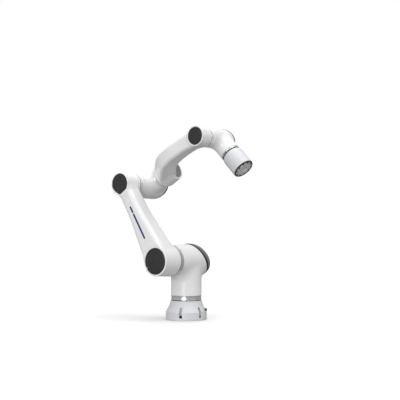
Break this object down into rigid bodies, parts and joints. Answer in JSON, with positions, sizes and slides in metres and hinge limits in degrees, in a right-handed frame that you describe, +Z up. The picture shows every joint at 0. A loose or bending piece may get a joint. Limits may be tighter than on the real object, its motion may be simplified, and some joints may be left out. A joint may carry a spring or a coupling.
{
  "type": "collaborative robot arm",
  "caption": "White six-axis collaborative robot arm with a round bolt-down base, two-axis joint modules, dark end caps and a round tool flange.",
  "frame": {"origin": "centre of the base's bottom face, on the axis of joint 1", "axes": "+Z up along joint 1; joints 2, 3 and 5 turn about Y at rest; the arm reaches towards +X and its links stand on the -Y side"},
  "size_m": [0.5916, 0.3175, 0.7808],
  "materials": {
    "white_paint": "satin white paint on cast aluminium",
    "dark_trim": "fine-textured black plastic",
    "dark_cover": "fine-textured dark grey plastic",
    "polished_ring": "polished",
    "machined_steel": "machined",
    "rubber_seal": "matt",
    "motor_winding": "varnished copper windings in a steel core",
    "circuit_board": "solder mask"
  },
  "bodies": {
    "base": {"base_housing": "white_paint", "base_plate": "machined_steel", "base_connector": "dark_trim"},
    "shoulder": {"shoulder_housing": "white_paint", "shoulder_cover_rim": "dark_trim", "shoulder_cover": "dark_cover", "joint_1_ring": "polished_ring", "joint_1_seal": "rubber_seal", "joint_1_encoder": "circuit_board", "joint_1_brake": "machined_steel", "joint_1_motor": "motor_winding", "joint_1_gear": "machined_steel", "joint_2_ring": "polished_ring", "joint_2_seal": "rubber_seal", "joint_2_encoder": "circuit_board", "joint_2_brake": "machined_steel", "joint_2_motor": "motor_winding", "joint_2_gear": "machined_steel"},
    "upper_arm": {"upper_arm_shell": "white_paint", "upper_arm_shoulder_cap": "dark_trim", "upper_arm_elbow_cap": "dark_trim", "upper_arm_harness": "rubber_seal"},
    "elbow": {"elbow_housing": "white_paint", "elbow_cover_rim": "dark_trim", "elbow_cover": "dark_cover", "joint_3_ring": "polished_ring", "joint_3_seal": "rubber_seal", "joint_3_encoder": "circuit_board", "joint_3_brake": "machined_steel", "joint_3_motor": "motor_winding", "joint_3_gear": "machined_steel", "joint_4_ring": "polished_ring", "joint_4_seal": "rubber_seal", "joint_4_encoder": "circuit_board", "joint_4_brake": "machined_steel", "joint_4_motor": "motor_winding", "joint_4_gear": "machined_steel"},
    "forearm": {"forearm_shell": "white_paint", "forearm_end_cap": "dark_cover", "forearm_wrist_cap": "dark_trim"},
    "wrist": {"wrist_housing": "white_paint", "wrist_cover_rim": "dark_trim", "wrist_cover": "dark_cover", "joint_5_ring": "polished_ring", "joint_5_seal": "rubber_seal", "joint_5_encoder": "circuit_board", "joint_5_brake": "machined_steel", "joint_5_motor": "motor_winding", "joint_5_gear": "machined_steel", "joint_6_ring": "polished_ring", "joint_6_seal": "rubber_seal", "joint_6_encoder": "circuit_board", "joint_6_brake": "machined_steel", "joint_6_motor": "motor_winding", "joint_6_gear": "machined_steel"},
    "tool_end": {"tool_housing": "white_paint", "tool_surround": "dark_trim", "tool_flange": "machined_steel"}
  },
  "joints": [
    {"name": "joint_1_turn", "type": "hinge", "parent": "base", "child": "shoulder", "pos_m": [0, 0, 0.245], "axis": [0, 0, 1], "range_deg": [-360, 360]},
    {"name": "joint_2_swing", "type": "hinge", "parent": "shoulder", "child": "upper_arm", "pos_m": [0, 0, 0.245], "axis": [0, 1, 0], "range_deg": [-95, 160]},
    {"name": "joint_3_swing", "type": "hinge", "parent": "upper_arm", "child": "elbow", "pos_m": [-0.20918, 0, 0.56224], "axis": [0, 1, 0], "range_deg": [-210, 15]},
    {"name": "joint_4_turn", "type": "hinge", "parent": "elbow", "child": "forearm", "pos_m": [-0.20918, 0, 0.56224], "axis": [0.9063, 0, 0.4226], "range_deg": [-360, 360]},
    {"name": "joint_5_swing", "type": "hinge", "parent": "forearm", "child": "wrist", "pos_m": [0.17147, 0, 0.73974], "axis": [0, 1, 0], "range_deg": [-218, 76]},
    {"name": "joint_6_turn", "type": "hinge", "parent": "wrist", "child": "tool_end", "pos_m": [0.17147, 0, 0.73974], "axis": [0.6959, 0, -0.7181], "range_deg": [-360, 360]}
  ]
}
